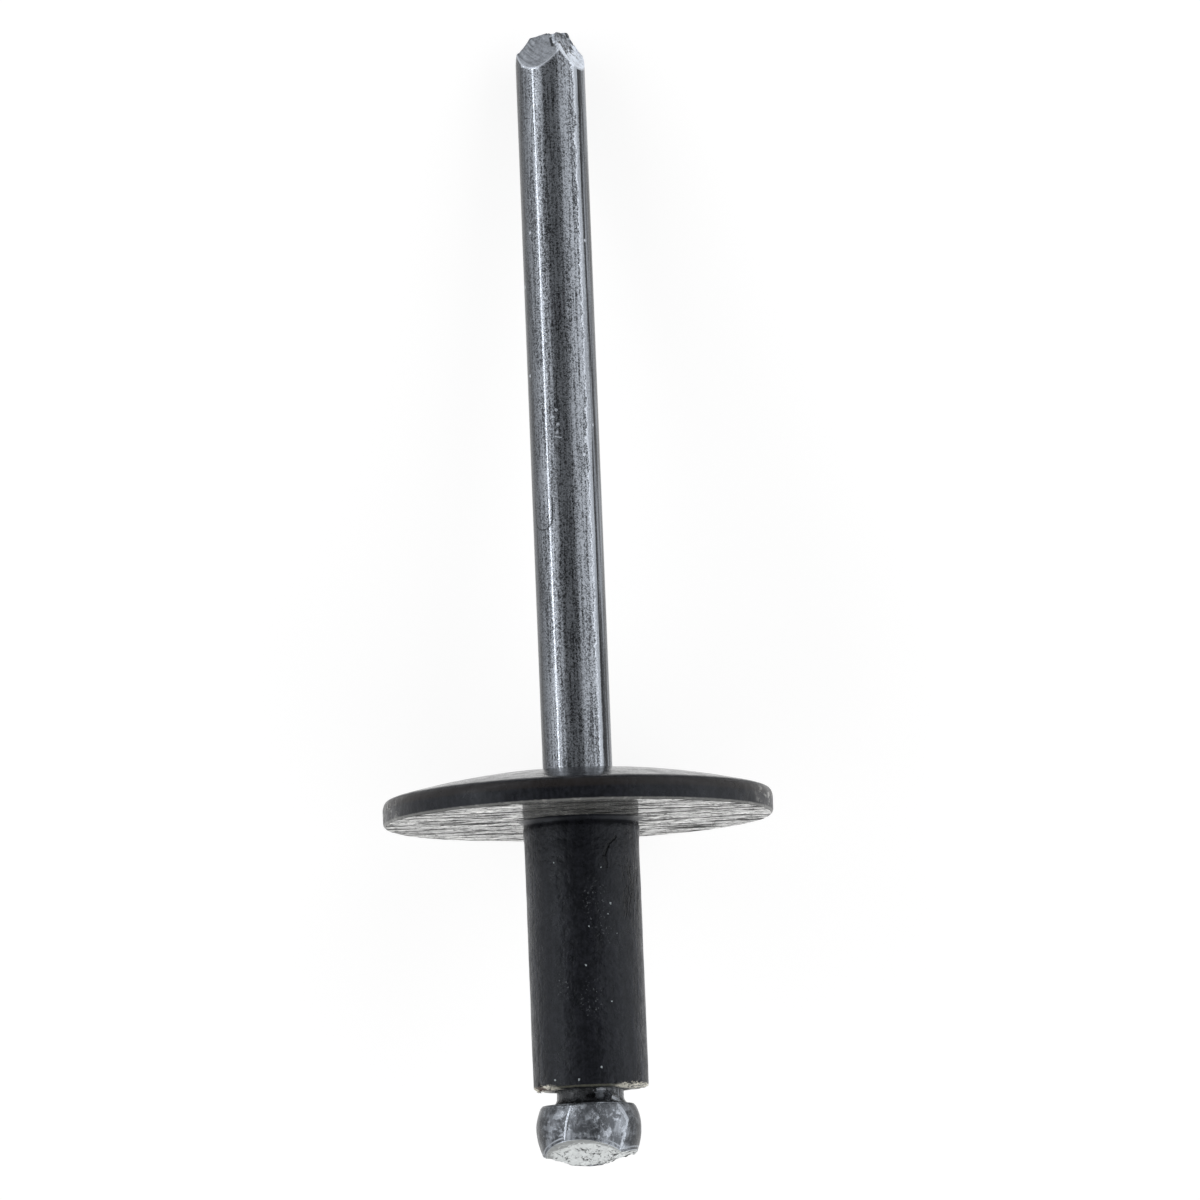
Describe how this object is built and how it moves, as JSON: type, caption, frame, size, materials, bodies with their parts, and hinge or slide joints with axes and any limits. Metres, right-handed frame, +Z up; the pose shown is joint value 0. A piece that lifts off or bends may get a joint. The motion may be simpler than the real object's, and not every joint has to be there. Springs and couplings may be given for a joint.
{
  "type": "pop rivet",
  "caption": "Blind rivet with a wide low domed flange, a black painted hollow sleeve and a bare pulling stem whose barrel head closes the sleeve when the stem is drawn.",
  "frame": {"origin": "on the ground the rivet lies on, under the middle of its bounding box", "axes": "+Z up; the rivet's axis runs along +Y and dips 12 degrees towards the point of the mandrel, which is at +Y; +X across the flange"},
  "size_m": [0.0162, 0.0469, 0.0161],
  "materials": {
    "black_paint": "satin black paint, slightly lumpy, with small nicks and dust",
    "bare_steel": "bare drawn wire, fine lines along its length and a mottled grey skin"
  },
  "bodies": {
    "root": {"rivet_body": "black_paint", "mandrel": "bare_steel"}
  },
  "joints": []
}
